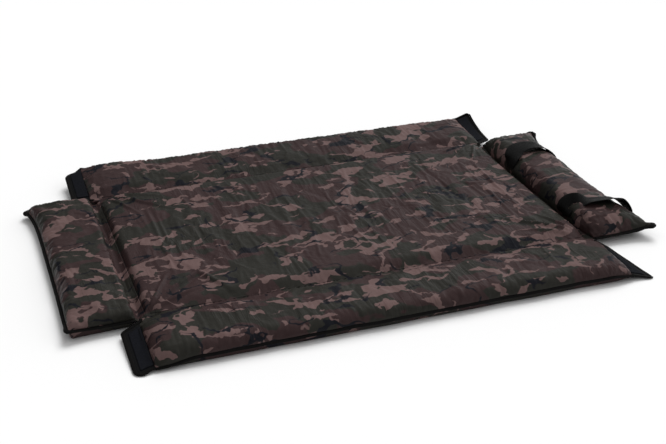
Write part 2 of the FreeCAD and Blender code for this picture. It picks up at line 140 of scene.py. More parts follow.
def studio():
    """A white floor under a graded white sky, with a wide light above and behind."""
    bpy.context.scene.view_settings.view_transform = "Standard"
    world = bpy.data.worlds.new("studio")
    world.use_nodes = True
    tree = world.node_tree
    place = tree.nodes.new("ShaderNodeTexCoord").outputs["Generated"]
    split = tree.nodes.new("ShaderNodeSeparateXYZ")
    tree.links.new(place, split.inputs[0])

    def ramp(axis, low, high, start, end):
        """A soft change of strength along one axis of the sky."""
        node = tree.nodes.new("ShaderNodeMapRange")
        node.interpolation_type = "SMOOTHSTEP"
        tree.links.new(split.outputs[axis], node.inputs["Value"])
        for name, value in (("From Min", low), ("From Max", high), ("To Min", start), ("To Max", end)):
            node.inputs[name].default_value = value
        return node.outputs["Result"]

    sky = tree.nodes.new("ShaderNodeMath")
    sky.operation = "MULTIPLY_ADD"
    tree.links.new(ramp(*SKY_SIDE), sky.inputs[0])
    tree.links.new(ramp(*SKY_SIDE_FADE), sky.inputs[1])
    tree.links.new(ramp(*SKY_OVERHEAD), sky.inputs[2])
    tree.links.new(sky.outputs["Value"], tree.nodes["Background"].inputs["Strength"])
    tree.nodes["Background"].inputs["Color"].default_value = (1.0, 1.0, 1.0, 1.0)
    bpy.context.scene.world = world
    sun("key", **KEY_LIGHT)
    mesh = bpy.data.meshes.new("floor")
    corners = [(x * FLOOR_HALF, y * FLOOR_HALF, 0) for x, y in ((-1, -1), (1, -1), (1, 1), (-1, 1))]
    mesh.from_pydata(corners, [], [(0, 1, 2, 3)])
    floor = bpy.data.objects.new("floor", mesh)
    bpy.context.scene.collection.objects.link(floor)
    paint = bpy.data.materials.new("floor_paint")
    paint.use_nodes = True
    shader = paint.node_tree.nodes["Principled BSDF"]
    shader.inputs["Base Color"].default_value = (FLOOR_SHADE, FLOOR_SHADE, FLOOR_SHADE, 1.0)
    shader.inputs["Roughness"].default_value = 0.9
    shader.inputs["Specular IOR Level"].default_value = 0.0
    mesh.materials.append(paint)


# Materials

class Nodes:
    """Short names for building one material's node tree."""

    def __init__(self, name):
        self.material = bpy.data.materials.new(name)
        self.material.use_nodes = True
        self.tree = self.material.node_tree
        self.shader = self.tree.nodes["Principled BSDF"]
        self.place = self.tree.nodes.new("ShaderNodeTexCoord").outputs["Object"]

    def link(self, value, socket):
        """Join an output to an input, or set the input to a plain value."""
        if isinstance(value, bpy.types.NodeSocket):
            self.tree.links.new(value, socket)
        else:
            socket.default_value = value

    def stretch(self, scale, shift=(0.0, 0.0, 0.0), source=None):
        """Object coordinates, stretched and shifted."""
        node = self.tree.nodes.new("ShaderNodeMapping")
        node.inputs["Scale"].default_value = scale
        node.inputs["Location"].default_value = shift
        self.link(source or self.place, node.inputs["Vector"])
        return node.outputs["Vector"]

    def noise(self, vector, scale, detail=2.0, roughness=0.5, distortion=0.0, output="Fac"):
        """A soft random pattern."""
        node = self.tree.nodes.new("ShaderNodeTexNoise")
        self.link(vector, node.inputs["Vector"])
        node.inputs["Scale"].default_value = scale
        node.inputs["Detail"].default_value = detail
        node.inputs["Roughness"].default_value = roughness
        node.inputs["Distortion"].default_value = distortion
        return node.outputs[output]

    def wave(self, vector, scale, direction):
        """Regular ribs."""
        node = self.tree.nodes.new("ShaderNodeTexWave")
        node.bands_direction = direction
        self.link(vector, node.inputs["Vector"])
        node.inputs["Scale"].default_value = scale
        return node.outputs["Fac"]

    def math(self, operation, first, second=0.0, third=0.0):
        """One sum on values or outputs."""
        node = self.tree.nodes.new("ShaderNodeMath")
        node.operation = operation
        for value, socket in zip((first, second, third), node.inputs):
            self.link(value, socket)
        return node.outputs["Value"]

    def step(self, value, edge, soft):
        """0 below an edge and 1 above it, with a soft change."""
        node = self.tree.nodes.new("ShaderNodeMapRange")
        node.interpolation_type = "SMOOTHSTEP"
        self.link(value, node.inputs["Value"])
        node.inputs["From Min"].default_value = edge - soft
        node.inputs["From Max"].default_value = edge + soft
        return node.outputs["Result"]

    def mix(self, share, first, second):
        """A colour between two others."""
        node = self.tree.nodes.new("ShaderNodeMix")
        node.data_type = "RGBA"
        colour = [socket for socket in node.inputs if socket.type == "RGBA"]
        self.link(share, node.inputs["Factor"])
        self.link(first, colour[0])
        self.link(second, colour[1])
        return next(socket for socket in node.outputs if socket.type == "RGBA")

    def bump(self, height, strength, distance, below=None):
        """A relief, laid over the one below."""
        node = self.tree.nodes.new("ShaderNodeBump")
        node.inputs["Strength"].default_value = strength
        node.inputs["Distance"].default_value = distance
        self.link(height, node.inputs["Height"])
        if below:
            self.link(below, node.inputs["Normal"])
        return node.outputs["Normal"]

    def finish(self, colour, normal, roughness, specular):
        """Feed the shader and hand back the material."""
        self.link(colour, self.shader.inputs["Base Color"])
        self.link(normal, self.shader.inputs["Normal"])
        self.link(roughness, self.shader.inputs["Roughness"])
        self.shader.inputs["Specular IOR Level"].default_value = specular
        return self.material


def linear(red, green, blue):
    """A colour given as 0 to 255 display values, as the shader wants it."""
    def one(value):
        value /= 255
        return value / 12.92 if value <= 0.04045 else ((value + 0.055) / 1.055) ** 2.4
    return (one(red), one(green), one(blue), 1.0)


CAMO = {"olive": linear(39, 38, 34), "plum": linear(53, 39, 39), "tan": linear(99, 79, 77),
        "navy": linear(15, 16, 23)}


def camo_fabric(name):
    """Coated polyester with a printed four-colour camouflage, a fine weave and small crumples."""
    n = Nodes(name)

    def warp(scale, amount):
        """Coordinates pushed about by a noise, so that printed edges wander."""
        node = n.tree.nodes.new("ShaderNodeVectorMath")
        node.operation = "MULTIPLY_ADD"
        n.link(n.noise(n.place, scale, output="Color"), node.inputs[0])
        node.inputs[1].default_value = (amount, amount, amount)
        n.link(n.place, node.inputs[2])
        return node.outputs["Vector"]

    def strokes(vector, scale, place, wide_scale, share, width, soft):
        """Brush strokes that follow a noise's middle level and swell and vanish with another noise."""
        line = n.noise(n.stretch((0.62, 1.2, 1.2), place, vector), scale, detail=1.0, roughness=0.4,
                       distortion=0.3)
        other_place = (place[2], place[0], place[1])
        swell = n.noise(n.stretch((1.0, 1.0, 1.0), other_place, vector), wide_scale, detail=1.5)
        reach = n.math("MULTIPLY", n.math("SUBTRACT", swell, share), width)
        return n.step(n.math("SUBTRACT", reach, n.math("ABSOLUTE", n.math("SUBTRACT", line, 0.5))), 0.0, soft)

    cloth = warp(scale=24.0, amount=0.040)
    blotches = n.noise(n.stretch((0.7, 1.0, 1.0), (3.1, 1.7, 0.4), cloth), 11.0, detail=1.0, roughness=0.4)
    colour = n.mix(n.step(blotches, edge=0.50, soft=0.008), CAMO["olive"], CAMO["plum"])
    large = strokes(cloth, scale=11.0, place=(5.3, 4.1, 0.9), wide_scale=16.0, share=0.48, width=0.38, soft=0.004)
    small = strokes(warp(scale=33.0, amount=0.030), scale=15.0, place=(2.6, 9.4, 6.9), wide_scale=20.0,
                    share=0.53, width=0.52, soft=0.004)
    colour = n.mix(n.math("MAXIMUM", large, small), colour, CAMO["tan"])
    navy = strokes(warp(scale=30.0, amount=0.030), scale=13.0, place=(7.7, 2.9, 1.1), wide_scale=14.0,
                   share=0.46, width=0.17, soft=0.005)
    colour = n.mix(navy, colour, CAMO["navy"])

    pleat = n.noise(n.stretch((1.0, 0.10, 0.3)), 62.0, distortion=0.3)
    off_line = n.math("ABSOLUTE", n.math("SUBTRACT", pleat, 0.5))
    pleat = n.math("SUBTRACT", 1.0, n.step(off_line, edge=0.03, soft=0.03))
    pleat = n.math("MULTIPLY", pleat, n.step(n.noise(n.place, 7.0), edge=0.53, soft=0.10))
    crumple = n.noise(n.stretch((1.0, 0.22, 0.6)), 70.0, detail=3.0, roughness=0.55)
    dents = n.noise(n.place, 24.0, detail=3.0, distortion=0.6)
    weave = n.math("MULTIPLY", n.wave(n.place, 420.0, "X"), n.wave(n.place, 420.0, "Y"))
    normal = None
    for relief, strength, distance in ((crumple, 0.5, 1.6), (pleat, 0.5, 0.9), (dents, 0.45, 5.0),
                                       (weave, 0.15, 0.2)):
        normal = n.bump(relief, strength, distance * MM, normal)
    rough = n.math("MULTIPLY_ADD", n.noise(n.place, 35.0), 0.14, 0.36)
    return n.finish(colour, normal, rough, specular=0.12)


def brighter(shade, times):
    """A colour made so many times as bright."""
    return tuple(channel * times for channel in shade[:3]) + (1.0,)


def dark_textile(name, shade, grain, depth, roughness):
    """Black tape, cloth or pile: a dark colour with a grain of its own scale."""
    n = Nodes(name)
    fine = n.noise(n.place, grain, detail=3.0, roughness=0.6)
    share = n.step(n.noise(n.place, grain * 0.2), edge=0.5, soft=0.3)
    colour = n.mix(share, shade, brighter(shade, 1.5))
    return n.finish(colour, n.bump(fine, 0.7, depth), roughness, specular=0.08)


def webbing(name, shade, pitch):
    """Woven webbing: ribs across its width and a herringbone of fine lines."""
    n = Nodes(name)
    ribs = n.wave(n.place, pitch, "X")
    lines = n.wave(n.place, pitch * 1.7, "DIAGONAL")
    colour = n.mix(ribs, shade, brighter(shade, 1.7))
    normal = n.bump(ribs, 0.5, 0.5 * MM, n.bump(lines, 0.4, 0.3 * MM))
    return n.finish(colour, normal, roughness=0.6, specular=0.15)


# Shapes

def smooth_noise(x, y, seed):
    """A smooth random field of a plane, from about -1 to 1, with features one unit across."""
    count = 64
    angle = np.random.default_rng(seed).uniform(0, 2 * math.pi, (count, count))
    column, row = np.floor(x).astype(int), np.floor(y).astype(int)
    total = np.zeros(np.broadcast(x, y).shape)
    fade_x, fade_y = x - column, y - row
    weight_x = fade_x ** 3 * (fade_x * (6 * fade_x - 15) + 10)
    weight_y = fade_y ** 3 * (fade_y * (6 * fade_y - 15) + 10)
    for across in (0, 1):
        for up in (0, 1):
            turn = angle[(column + across) % count, (row + up) % count]
            slope = np.cos(turn) * (fade_x - across) + np.sin(turn) * (fade_y - up)
            share = (weight_x if across else 1 - weight_x) * (weight_y if up else 1 - weight_y)
            total += share * slope
    return 1.5 * total


def rolled(distance, reach):
    """Share of full height at a distance from a seam: a quarter circle."""
    short = 1 - np.clip(distance / reach, 0, 1)
    return np.sqrt(1 - short ** 2)


def eased(distance, reach):
    """Share of full height at a distance from a fold: a slope that levels out."""
    short = 1 - np.clip(distance / reach, 0, 1)
    return 1 - short ** 2


def smooth(distance, reach):
    """Share of full height at a distance from a soft crease: level, then rising, then level again."""
    share = np.clip(distance / reach, 0, 1)
    return share * share * (3 - 2 * share)


def between(pair, share):
    """The value at a share of the way from the first of a pair to the second."""
    return pair[0] + (pair[1] - pair[0]) * share


def fold_level(x):
    """Height of the long folds, which sink to the corners where four panels meet."""
    return END_Z + (FOLD_Z - END_Z) * smooth(END_X - np.abs(x), 45 * MM)


def pinch(x, y, corner_x, corner_y, reach):
    """Share of full height near the corners where the panels are drawn together."""
    away = np.hypot(np.abs(x) - corner_x, np.abs(y) - corner_y)
    return eased(away, reach)


def stations(low, high, step):
    """Places along one side of a cushion, closer together near its two seams."""
    start, end = low + EDGE_STEPS, high - EDGE_STEPS[::-1]
    count = max(2, int(round((end[0] - start[-1]) / step)))
    middle = np.linspace(start[-1], end[0], count + 1)[1:-1]
    return np.concatenate([start, middle, end])


def mesh_object(name, points, faces, material):
    """A smooth-shaded mesh of one material."""
    mesh = bpy.data.meshes.new(name)
    mesh.from_pydata([tuple(point) for point in points], [], faces)
    mesh.materials.append(material)
    mesh.polygons.foreach_set("use_smooth", [True] * len(mesh.polygons))
    mesh.update()
    thing = bpy.data.objects.new(name, mesh)
    bpy.context.scene.collection.objects.link(thing)
    return thing


def quads_of(grid):
    """The four point numbers at the corners of each cell of a grid."""
    return np.stack([grid[:-1, :-1], grid[1:, :-1], grid[1:, 1:], grid[:-1, 1:]], -1).reshape(-1, 4)


def cushion(name, xs, ys, shape, material, cloth=None):
    """A closed cushion: an upper and a lower sheet over a plan grid, sewn together round their edge."""
    plan_x, plan_y = np.meshgrid(xs, ys, indexing="ij")
    x, y, top, bottom = shape(plan_x, plan_y)
    sheet = np.stack([x, y, top], -1)
    if cloth:
        sheet = settle(sheet, **cloth)
    count_x, count_y = len(xs), len(ys)
    upper = np.arange(count_x * count_y).reshape(count_x, count_y)
    lower = upper.copy()
    inner = (slice(1, -1), slice(1, -1))
    lower[inner] = count_x * count_y + np.arange((count_x - 2) * (count_y - 2)).reshape(count_x - 2, -1)
    points = np.concatenate([sheet.reshape(-1, 3),
                             np.stack([x[inner], y[inner], bottom[inner]], -1).reshape(-1, 3)])
    faces = quads_of(upper).tolist() + quads_of(lower)[:, ::-1].tolist()
    return mesh_object(name, points, faces, material)


def settle(sheet, slack, hold, push, cap):
    """Let an upper sheet buckle as cloth that is cut larger by slack.

    Its seam is held fast, hold ties the rest softly to the foam below, and push is the foam's pressure.
    """
    scene = bpy.context.scene
    scene.use_gravity = False
    scene.frame_start, scene.frame_end = 1, SETTLE_FRAMES
    count_x, count_y = sheet.shape[:2]
    grid = np.arange(count_x * count_y).reshape(count_x, count_y)
    mesh = bpy.data.meshes.new("slack_sheet")
    mesh.from_pydata(sheet.reshape(-1, 3).tolist(), [], quads_of(grid).tolist())
    thing = bpy.data.objects.new("slack_sheet", mesh)
    scene.collection.objects.link(thing)
    seam = np.concatenate([grid[0], grid[-1], grid[1:-1, 0], grid[1:-1, -1]])
    held = thing.vertex_groups.new(name="held")
    held.add(seam.tolist(), 1.0, "REPLACE")
    held.add(grid[1:-1, 1:-1].ravel().tolist(), hold, "REPLACE")
    cloth = thing.modifiers.new("cloth", "CLOTH")
    setting = cloth.settings
    for name, value in FABRIC.items():
        setattr(setting, name, value)
    setting.effector_weights.gravity = 0
    setting.vertex_group_mass = "held"
    setting.shrink_min = setting.shrink_max = -slack
    if push:
        setting.use_pressure = True
        setting.uniform_pressure_force = push
    cloth.collision_settings.use_collision = False
    cloth.point_cache.frame_start, cloth.point_cache.frame_end = 1, SETTLE_FRAMES
    for step in range(1, SETTLE_FRAMES + 1):
        scene.frame_set(step)
    done = thing.evaluated_get(bpy.context.evaluated_depsgraph_get())
    after = np.empty(sheet.size)
    done.data.vertices.foreach_get("co", after)
    bpy.data.objects.remove(thing)
    scene.frame_set(1)
    move = after.reshape(sheet.shape) - sheet
    length = np.linalg.norm(move, axis=-1, keepdims=True) + 1e-12
    return sheet + move * cap * np.tanh(length / cap) / length


def line_fold(x, y, start, end, width, height):
    """A soft ridge, or a valley if its height is negative, along a straight line that fades at both ends."""
    run = np.array(end) - np.array(start)
    length = np.hypot(*run)
    along = ((x - start[0]) * run[0] + (y - start[1]) * run[1]) / length
    off = ((x - start[0]) * -run[1] + (y - start[1]) * run[0]) / length
    off = off + 0.12 * width * np.sin(along / (1.7 * width))
    fade = smooth(along, 0.25 * length) * smooth(length - along, 0.45 * length)
    return height * fade * np.exp(-(off / width) ** 2)


def ridged(x, y, seed, sharpness):
    """A field of narrow creases, from 0 to 1, that follow the middle level of a noise."""
    return np.clip(1 - sharpness * np.abs(smooth_noise(x, y, seed)), 0, 1) ** 1.5


def cloth_relief(x, y, seed):
    """Slack in a cover laid over foam: long soft creases across the mat and small crumples."""
    drift = x + 0.012 * smooth_noise(x / 0.15, y / 0.15, seed + 1)
    patches = np.clip(smooth_noise(x / 0.11, y / 0.13, seed + 3) + 0.35, 0, 1)
    slanted = ridged((x + 0.6 * y) / 0.045, (y - 0.6 * x) / 0.11, seed + 9, 6)
    other = ridged((x - 0.8 * y) / 0.050, (y + 0.8 * x) / 0.12, seed + 10, 6)
    few = np.clip(smooth_noise(x / 0.09, y / 0.07, seed + 11) * 1.6, 0, 1)
    waves = smooth_noise(x / 0.060, y / 0.20, seed + 4)
    crumple = smooth_noise(x / 0.022, y / 0.034, seed + 5)
    return MM * (0.8 * waves + 2.2 * ridged(drift / 0.021, y / 0.22, seed + 2, 3.6) * patches
                 + 1.1 * few * (slanted + other) + 0.35 * crumple)


def puckers(along, distance, pitch, reach, depth, seed):
    """Gathers that run inwards from a seam and die away."""
    wander = along + 0.35 * distance * smooth_noise(along / (5 * pitch), 0 * along, seed + 50)
    soft = smooth_noise(wander / pitch, distance / (4 * pitch), seed)
    sharp = ridged(wander / (0.8 * pitch), distance / (5 * pitch), seed + 51, 3.0)
    fold = 0.55 * soft + 0.75 * sharp - 0.3
    return depth * fold * np.exp(-distance / reach) * (1 - np.exp(-distance / (0.15 * reach)))


def finish_piece(thing, body, nodes=()):
    """Ride a piece on its body and hide the CAD parts that it stands for."""
    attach(thing, body)
    if nodes:
        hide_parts(*nodes)
    return thing


def covered(name):
    """The CAD nodes of one padded panel's foam and covers."""
    return [f"{name}_foam", f"{name}_top_cover", f"{name}_bottom_cover"]


# Base

def facet(x, y, corners, depth):
    """A flat sunken triangle between two creases that start at its first corner."""
    inside = np.ones(x.shape)
    for start, end in ((corners[0], corners[1]), (corners[1], corners[2])):
        run = np.array(end) - np.array(start)
        off = ((x - start[0]) * run[1] - (y - start[1]) * run[0]) / np.hypot(*run)
        inside = inside * smooth(off, 9 * MM)
    return -depth * inside * smooth(FOLD_Y - np.abs(y), 60 * MM)


# Each corner of the base as two signs, with its folds' strength. Then the folds that fan out from each corner:
# their angle in radians, length in metres, and width and height in millimetres.
CORNERS = ((-1, -1, 1.0), (-1, 1, 0.7), (1, -1, 0.8), (1, 1, 0.7))
CORNER_FOLDS = ((0.74, 0.24, 5, 9.0), (0.40, 0.17, 4.5, 6.5), (1.12, 0.17, 4.5, 6.5))


def base_creases(x, y):
    """Stress folds that fan out over the base from its four corners."""
    total = np.zeros(x.shape)
    for side_x, side_y, strength in CORNERS:
        start = (side_x * (END_X - 8 * MM), side_y * (FOLD_Y - 6 * MM))
        for turn, length, width, height in CORNER_FOLDS:
            end = (start[0] - side_x * length * math.cos(turn), start[1] - side_y * length * math.sin(turn))
            total += line_fold(x, y, start, end, width * MM, strength * height * MM)
    total += line_fold(x, y, (-0.400, -0.160), (-0.330, -0.300), 6 * MM, 2.4 * MM)
    total += facet(x, y, ((-0.533, -0.300), (-0.392, -0.172), (-0.335, -0.300)), 3.0 * MM)
    total += facet(x, y, ((-0.440, 0.300), (-0.470, 0.200), (-0.533, 0.300)), 1.6 * MM)
    for place, height in ((-0.448, 1.6), (-0.430, 1.2), (0.418, 1.3), (0.452, 1.7)):
        total += line_fold(x, y, (place, -0.25), (place + 0.01, 0.27), 4 * MM, height * MM)
    return total


def base_shape(x, y):
    """The base: flat foam, dipping to the wall folds and rolling over at the short ends."""
    from_end = END_X - np.abs(x)
    from_fold = FOLD_Y - np.abs(y)
    seam = fold_level(x)
    full = rolled(from_end, 16 * MM) * smooth(from_fold, 38 * MM) * pinch(x, y, END_X, FOLD_Y, 62 * MM)
    seed = SEED["base"]
    relief = cloth_relief(x, y, seed)
    relief += puckers(x, from_fold, 15 * MM, 24 * MM, 1.6 * MM, seed + 10)
    relief += puckers(y, from_end, 14 * MM, 15 * MM, 2.4 * MM, seed + 11)
    crown = 1.5 * MM * smooth(from_end, 0.25) * smooth(from_fold, 0.2)
    top = seam + (PANEL_TOP - seam) * full + (relief + crown) * full + base_creases(x, y) * full ** 0.5
    under = rolled(from_end, 12 * MM) * rolled(from_fold, 12 * MM)
    return x, y, top, seam * (1 - under)


def base(material):
    """The centre panel."""
    xs = stations(-END_X, END_X, BASE_PITCH[0])
    ys = stations(-FOLD_Y, FOLD_Y, BASE_PITCH[1])
    piece = cushion("base_cushion", xs, ys, base_shape, material, BASE_CLOTH)
    finish_piece(piece, "base", covered("base"))


# Walls

# Heights of each tab's four corners, in millimetres: at its seam and its tip, beside the fold and beside the free
# edge. Then how far the tip stands out at both, how far the free end is drawn out, the corner's radius, and the
# power by which the heights bend from one to the other.
TABS = {
    "near_left": {"seam": (20, 8), "tip": (12, 2.5), "reach": (42, 43), "drawn": 9, "round": 15, "bend": 1.0},
    "near_right": {"seam": (20, 12), "tip": (7, 1.5), "reach": (25, 50), "drawn": 12, "round": 1, "bend": 1.0},
    "far_left": {"seam": (21, 40), "tip": (14, 30), "reach": (43, 42), "drawn": -4, "round": 26, "bend": 1.0},
    "far_right": {"seam": (21, 34), "tip": (19, 48), "reach": (38, 44), "drawn": 0, "round": 2, "bend": 2.2},
}

# How far along the wall each end's slope reaches at the free edge, in millimetres
DIP = {"near_left": 105, "near_right": 60, "far_left": 70, "far_right": 60}


def wall_seam(side, x, from_fold):
    """Height of the seam round a wall: level with its fold, and with each tab's seam at the ends."""
    across = np.clip(from_fold / (WALL_EDGE_Y - FOLD_Y), 0, 1)
    middle = fold_level(x) + (SEAM_Z - fold_level(x)) * smooth(across, 0.35)
    total = np.zeros(np.broadcast(x, from_fold).shape)
    for end in ("left", "right"):
        form, reach = TABS[f"{side}_{end}"], DIP[f"{side}_{end}"]
        level = between(form["seam"], across ** form["bend"]) * MM
        length = (WALL_END_X - END_X) + (reach * MM - WALL_END_X + END_X) * smooth(across, 0.8)
        near = smooth(WALL_END_X - np.abs(x), length)
        half = (x < 0) if end == "left" else (x >= 0)
        total = np.where(half, level + (middle - level) * near, total)
    return total


def wall_shape(side, sign):
    """A wall's form: thick along the middle, thin at both ends. The far wall stands higher, most at its left."""
    seed = SEED[f"{side}_wall"]
    roll = 18 if sign > 0 else 30

    def shape(x, y):
        from_end = WALL_END_X - np.abs(x)
        from_fold = np.abs(y) - FOLD_Y
        from_edge = WALL_EDGE_Y - np.abs(y)
        seam = wall_seam(side, x, from_fold)
        full = rolled(from_end, 46 * MM) * smooth(from_fold, 38 * MM) * rolled(from_edge, roll * MM)
        full = full * pinch(x, y, WALL_END_X - 10 * MM, FOLD_Y, 58 * MM)
        relief = cloth_relief(x, y, seed)
        relief += puckers(x, from_edge, 12 * MM, 17 * MM, 4.2 * MM, seed + 6)
        relief += puckers(x, from_fold, 15 * MM, 20 * MM, 1.6 * MM, seed + 7)
        relief += puckers(y, from_end, 17 * MM, 34 * MM, 3.4 * MM, seed + 8)
        crown = PANEL_TOP + (3 * MM * smooth(from_fold, 0.12) if sign > 0 else 0)
        if sign > 0:
            crown = crown + 8 * MM * np.exp(-((x + 0.49) / 0.085) ** 2) * smooth(from_fold, 0.15)
        top = seam + np.maximum(crown - seam, 3 * MM) * full + relief * full
        under = rolled(from_end, 40 * MM) * rolled(from_fold, 12 * MM) * rolled(from_edge, 7 * MM)
        wobble = 1.8 * MM * smooth_noise(x / 0.09, y * 0, seed + 9) * smooth(from_fold, 0.16)
        return x, y + sign * wobble, top, seam * (1 - under)
    return shape


def wall(side, sign, material):
    """A long wall: padded to near its ends, where it thins to the seam that holds the tabs."""
    xs = stations(-WALL_END_X, WALL_END_X, WALL_PITCH[0])
    ys = stations(FOLD_Y, WALL_EDGE_Y, WALL_PITCH[1])
    if sign < 0:
        ys = -ys[::-1]
    piece = cushion(f"{side}_wall_cushion", xs, ys, wall_shape(side, sign), material, WALL_CLOTH)
    finish_piece(piece, f"{side}_wall", covered(f"{side}_wall"))


# End pads

# In millimetres: how far the top rolls over at the inner, outer and end edges, how far the underside rolls up at
# the outer and end edges, and the depth of the gathers. Then how far the outer corners stand out and up, near and
# far, how far the outer edge draws in between them, and how far the inner edge leans towards the base.
PAD_FORM = {
    "left": {"inner": 16, "outer": 26, "ends": 24, "below": (9, 9), "gather": 1.8,
             "ears": (-3, 12), "lift": (6, -4), "waist": 5, "lean": 0, "fill": 0.75},
    "right": {"inner": 32, "outer": 50, "ends": 72, "below": (34, 52), "gather": 4.2,
              "ears": (9, 9), "lift": (13, 15), "waist": 13, "lean": 9, "fill": 0.9},
}


def end_pad(side, sign, material):
    """An end pad: a pillow whose corners stand out as small ears."""
    form = PAD_FORM[side]
    edge = PAD_EDGE[side]

    def shape(x, y):
        from_fold = np.abs(x) - PAD_INNER
        from_edge = edge - np.abs(x)
        from_end = PAD_HALF_Y - np.abs(y)
        along = np.abs(y) / PAD_HALF_Y
        across = (np.abs(x) - PAD_INNER) / (edge - PAD_INNER)
        lift = np.where(y < 0, *form["lift"]) * MM
        seam = END_Z - 1 * MM + lift * along ** 9 * across ** 2.5
        full = rolled(from_fold, form["inner"] * MM) * rolled(from_edge, form["outer"] * MM)
        full = full * rolled(from_end, form["ends"] * MM)
        seed = SEED[f"{side}_pad"]
        relief = 0.6 * cloth_relief(x, y, seed)
        gather = form["gather"] * MM
        relief += puckers(y, from_fold, 17 * MM, 24 * MM, gather, seed + 6)
        relief += puckers(y, from_edge, 15 * MM, 20 * MM, gather, seed + 7)
        relief += puckers(x, from_end, 13 * MM, 34 * MM, 1.4 * gather, seed + 8)
        top = seam + (PAD_TOP[side] - seam) * full + relief * full
        below_edge, below_end = form["below"]
        under = rolled(from_fold, 18 * MM) * rolled(from_edge, below_edge * MM) * rolled(from_end, below_end * MM)
        ears = np.where(y < 0, *form["ears"]) * MM
        out_x = across * (ears * along ** 6 - form["waist"] * MM * (1 - along ** 4))
        out_x = out_x - form["lean"] * MM * (1 - across) ** 3 * (1 - along ** 6)
        out_y = 5 * MM * along ** 3 * (across ** 4 - 0.8 * (1 - across) ** 2)
        return x + sign * out_x, y + np.sign(y) * out_y, top, seam * (1 - under)

    xs = stations(PAD_INNER, edge, PAD_PITCH[0])
    if sign < 0:
        xs = -xs[::-1]
    ys = stations(-PAD_HALF_Y, PAD_HALF_Y, PAD_PITCH[1])
    piece = cushion(f"{side}_pad_cushion", xs, ys, shape, material, PAD_CLOTH)
    finish_piece(piece, f"{side}_end_pad", covered(f"{side}_pad"))
    return shape


def fold_strip(side, sign, material):
    """The sunken, rumpled strip of fabric between the base and an end pad."""
    half = PAD_HALF_Y - 4 * MM
    reach = PAD_INNER + 4 * MM
    xs = np.linspace(END_X, reach, 12)
    if sign < 0:
        xs = -xs[::-1]

    def shape(x, y):
        share = (np.abs(x) - END_X) / (reach - END_X)
        middle = (1 - np.abs(2 * share - 1)) ** 0.7
        ripple = (2.2 * MM * smooth_noise(x / 0.009, y / 0.07, SEED["fold_strip"])
                  + 1.4 * MM * smooth_noise(x / 0.02, y / 0.02, SEED["fold_strip"] + 1))
        top = END_Z + 0.7 * MM + middle * (ripple - 11 * MM)
        edge = (np.abs(y) >= half - 1e-6) | (share < 1e-6) | (share > 1 - 1e-6)
        return x, y, top, np.where(edge, top, top - 1.2 * MM)

    piece = cushion(f"{side}_fold_strip", xs, np.linspace(-half, half, 240), shape, material)
    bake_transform(piece)


# Binding tape

def tube(name, sections, material):
    """A closed tube. Each section is one line along it, and the sections follow each other round it."""
    around, count = len(sections), len(sections[0])
    points = np.stack(sections, 1).reshape(-1, 3)
    faces = []
    for ring in range(count - 1):
        for step in range(around):
            here, beside = ring * around + step, ring * around + (step + 1) % around
            faces.append((here, beside, beside + around, here + around))
    last = (count - 1) * around
    faces += [tuple(reversed(range(around))), tuple(range(last, last + around))]
    return mesh_object(name, points, faces, material)


def square_to(path, across):
    """Unit directions along a path, and the given directions made square to them."""
    along = np.gradient(path, axis=0)
    along /= np.linalg.norm(along, axis=1)[:, None]
    across = across - (across * along).sum(1)[:, None] * along
    return along, across / np.linalg.norm(across, axis=1)[:, None]


def softened(path, rounds):
    """A path with its corners rounded, its two ends kept."""
    for _ in range(rounds):
        path[1:-1] = (path[:-2] + 2 * path[1:-1] + path[2:]) / 4
    return path


def sideways(path, sign):
    """Level directions square to a path, to the side that the sign says."""
    tangent = np.gradient(path, axis=0)
    return np.stack([tangent[:, 1], -tangent[:, 0], np.zeros(len(path))], -1) * sign


def sweep(name, path, outward, width, thickness, material, droop, rings=8):
    """A folded tape: a flattened oval, its inner edge on the path, turned down by droop radians."""
    along, outward = square_to(path, outward)
    upward = np.cross(along, outward)
    upward *= np.sign(upward[:, 2:3] + 1e-9)
    droop, width, thickness = (np.broadcast_to(np.asarray(value, float), (len(path),))[:, None]
                               for value in (droop, width, thickness))
    lean = np.cos(droop) * outward - np.sin(droop) * upward
    stand = np.sin(droop) * outward + np.cos(droop) * upward
    sections = []
    for step in range(rings):
        angle = 2 * math.pi * step / rings
        share_out = 0.5 + 0.5 * math.copysign(abs(math.cos(angle)) ** 0.6, math.cos(angle))
        share_up = 0.5 * math.copysign(abs(math.sin(angle)) ** 0.6, math.sin(angle))
        sections.append(path + lean * width * share_out + stand * thickness * share_up)
    return tube(name, sections, material)


def wall_binding(side, sign, material):
    """Tape along a wall's free edge, turned down where it hangs."""
    xs = np.linspace(-WALL_END_X, WALL_END_X, 280)
    x, y, top, _ = wall_shape(side, sign)(xs, np.full(xs.shape, sign * WALL_EDGE_Y))
    seed = SEED[f"{side}_wall"]
    wave = 0.9 * MM * smooth_noise(xs / 0.05, xs * 0, seed + 10)
    path = np.stack([x, y - sign * 1.5 * MM, top + wave], -1)
    outward = np.tile([0, sign, 0], (len(xs), 1))
    droop = 0.72 + 0.2 * smooth_noise(xs / 0.12, xs * 0, seed + 11)
    droop = 0.15 + (droop - 0.15) * smooth(WALL_END_X - np.abs(xs), 0.11)
    tape = sweep(f"{side}_wall_tape", path, outward, 8 * MM, 2.8 * MM, material, droop)
    finish_piece(tape, f"{side}_wall", [f"{side}_wall_binding"])


